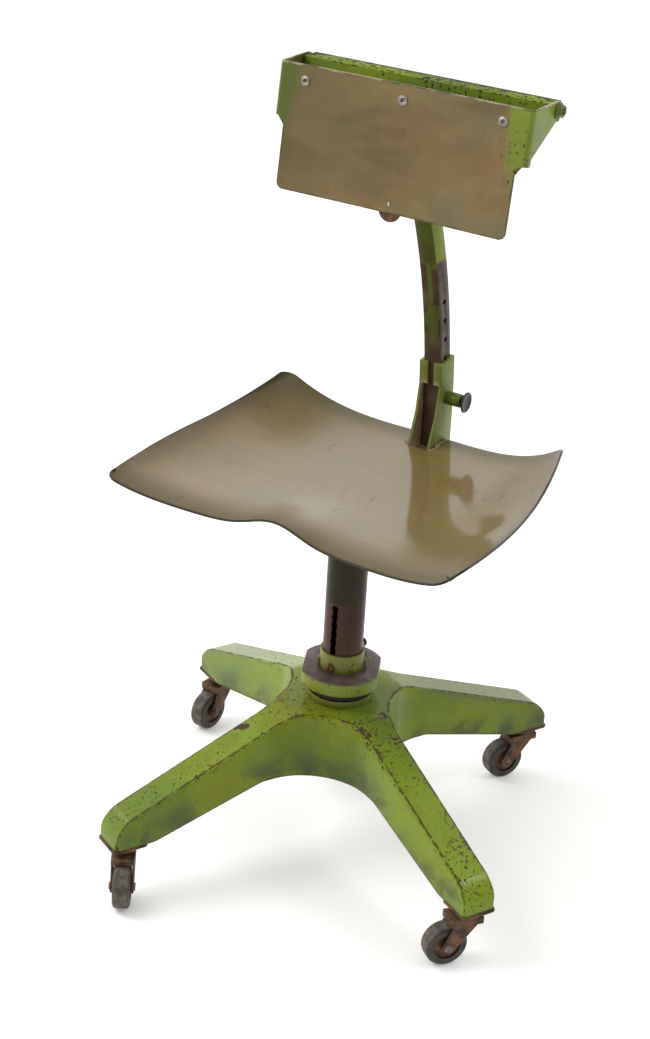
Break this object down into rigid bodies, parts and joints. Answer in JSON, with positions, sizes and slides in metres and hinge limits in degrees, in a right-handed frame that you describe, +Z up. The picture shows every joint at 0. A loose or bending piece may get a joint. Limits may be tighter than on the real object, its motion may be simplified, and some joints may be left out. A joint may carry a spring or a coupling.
{
  "type": "drafting chair",
  "caption": "Steel swivel drafting chair with a saddle-shaped sheet seat, tilting backrest on a curved post, and a four-leg pressed base on casters.",
  "frame": {"origin": "on the floor under the column's axis", "axes": "+Z up, +X to the sitter's left, sitter faces -Y"},
  "size_m": [0.5676, 0.585, 0.9181],
  "materials": {
    "green_paint": "worn satin green paint, chipped to brown along edges",
    "worn_seat": "smooth tan lacquer worn by use, glossy",
    "worn_back": "green paint worn to bare brown metal over the middle",
    "column_brown": "dark brown paint above, bare red-brown steel below",
    "post_brown": "bare brown steel with remains of green paint",
    "dark_steel": "dark oiled steel",
    "knob_steel": "dark worn steel",
    "rusty_steel": "rusted steel",
    "bright_steel": "dull steel",
    "wheel_rubber": "dusty hard rubber"
  },
  "bodies": {
    "base": {"base_shell": "green_paint", "hub_reinforcement": "dark_steel", "pivot_sleeve": "dark_steel", "lower_race": "dark_steel", "bearing_balls": "bright_steel", "caster_plates": "rusty_steel", "caster_sockets": "dark_steel"},
    "swivel_head": {"swivel_ring": "green_paint", "socket_tube": "green_paint", "upper_race": "dark_steel", "retaining_ring": "dark_steel", "guide_screw": "rusty_steel", "collar_rivets": "green_paint", "height_plunger_housing": "green_paint", "height_plunger_spring": "bright_steel"},
    "height_plunger": {"height_plunger_pin": "bright_steel", "height_plunger_knob": "knob_steel"},
    "seat": {"column_tube": "column_brown", "seat_frame": "dark_steel", "seat_pan": "worn_seat", "bracket_channel": "green_paint", "back_plunger_housing": "green_paint", "back_plunger_spring": "bright_steel"},
    "back_plunger": {"back_plunger_pin": "bright_steel", "back_plunger_knob": "knob_steel"},
    "back_post": {"post_tube": "post_brown", "yoke_gussets": "green_paint", "yoke_bar": "green_paint", "pivot_rod": "rusty_steel", "pivot_nut": "knob_steel"},
    "backrest": {"backrest_pan": "worn_back", "pad_rivets": "bright_steel", "bumper_disc": "rusty_steel", "bumper_rivet": "bright_steel"},
    "caster_front_left": {"caster_fork_fl": "rusty_steel", "caster_axle_fl": "rusty_steel"},
    "wheel_front_left": {"wheel_tyre_fl": "wheel_rubber", "wheel_core_fl": "rusty_steel"},
    "caster_front_right": {"caster_fork_fr": "rusty_steel", "caster_axle_fr": "rusty_steel"},
    "wheel_front_right": {"wheel_tyre_fr": "wheel_rubber", "wheel_core_fr": "rusty_steel"},
    "caster_rear_right": {"caster_fork_br": "rusty_steel", "caster_axle_br": "rusty_steel"},
    "wheel_rear_right": {"wheel_tyre_br": "wheel_rubber", "wheel_core_br": "rusty_steel"},
    "caster_rear_left": {"caster_fork_bl": "rusty_steel", "caster_axle_bl": "rusty_steel"},
    "wheel_rear_left": {"wheel_tyre_bl": "wheel_rubber", "wheel_core_bl": "rusty_steel"}
  },
  "joints": [
    {"name": "seat_swivel", "type": "hinge", "parent": "base", "child": "swivel_head", "pos_m": [0, 0, 0.205], "axis": [0, 0, 1], "continuous": true},
    {"name": "seat_height", "type": "slide", "parent": "swivel_head", "child": "seat", "axis": [0, 0, 1], "range_m": [-0.077, 0.044]},
    {"name": "height_plunger_pull", "type": "slide", "parent": "swivel_head", "child": "height_plunger", "axis": [0, 1, 0], "range_m": [0, 0.004], "stiffness_N_per_m": 600, "springref_m": -0.004, "deforming": ["height_plunger_spring"]},
    {"name": "backrest_height", "type": "hinge", "parent": "seat", "child": "back_post", "pos_m": [0, -0.531, 0.47], "axis": [1, 0, 0], "range_deg": [-6.07, 4.04]},
    {"name": "back_plunger_pull", "type": "slide", "parent": "seat", "child": "back_plunger", "axis": [1, 0, 0], "range_m": [0, 0.007], "stiffness_N_per_m": 600, "springref_m": -0.004, "deforming": ["back_plunger_spring"]},
    {"name": "backrest_tilt", "type": "hinge", "parent": "back_post", "child": "backrest", "pos_m": [0, 0.11, 0.907], "axis": [1, 0, 0], "range_deg": [-12, 10]},
    {"name": "caster_swivel_front_left", "type": "hinge", "parent": "base", "child": "caster_front_left", "pos_m": [-0.1285, -0.25439, 0.0654], "axis": [0, 0, 1], "continuous": true},
    {"name": "wheel_roll_front_left", "type": "hinge", "parent": "caster_front_left", "child": "wheel_front_left", "pos_m": [-0.11523, -0.27604, 0.0254], "axis": [0.8526, 0.5225, 0], "continuous": true},
    {"name": "caster_swivel_front_right", "type": "hinge", "parent": "base", "child": "caster_front_right", "pos_m": [0.25439, -0.1285, 0.0654], "axis": [0, 0, 1], "continuous": true},
    {"name": "wheel_roll_front_right", "type": "hinge", "parent": "caster_front_right", "child": "wheel_front_right", "pos_m": [0.23871, -0.14849, 0.0254], "axis": [0.7869, -0.617, 0], "continuous": true},
    {"name": "caster_swivel_rear_right", "type": "hinge", "parent": "base", "child": "caster_rear_right", "pos_m": [0.1285, 0.25439, 0.0654], "axis": [0, 0, 1], "continuous": true},
    {"name": "wheel_roll_rear_right", "type": "hinge", "parent": "caster_rear_right", "child": "wheel_rear_right", "pos_m": [0.11515, 0.23278, 0.0254], "axis": [0.8508, -0.5255, 0], "continuous": true},
    {"name": "caster_swivel_rear_left", "type": "hinge", "parent": "base", "child": "caster_rear_left", "pos_m": [-0.25439, 0.1285, 0.0654], "axis": [0, 0, 1], "continuous": true},
    {"name": "wheel_roll_rear_left", "type": "hinge", "parent": "caster_rear_left", "child": "wheel_rear_left", "pos_m": [-0.25722, 0.10326, 0.0254], "axis": [0.9938, -0.1115, 0], "continuous": true}
  ]
}
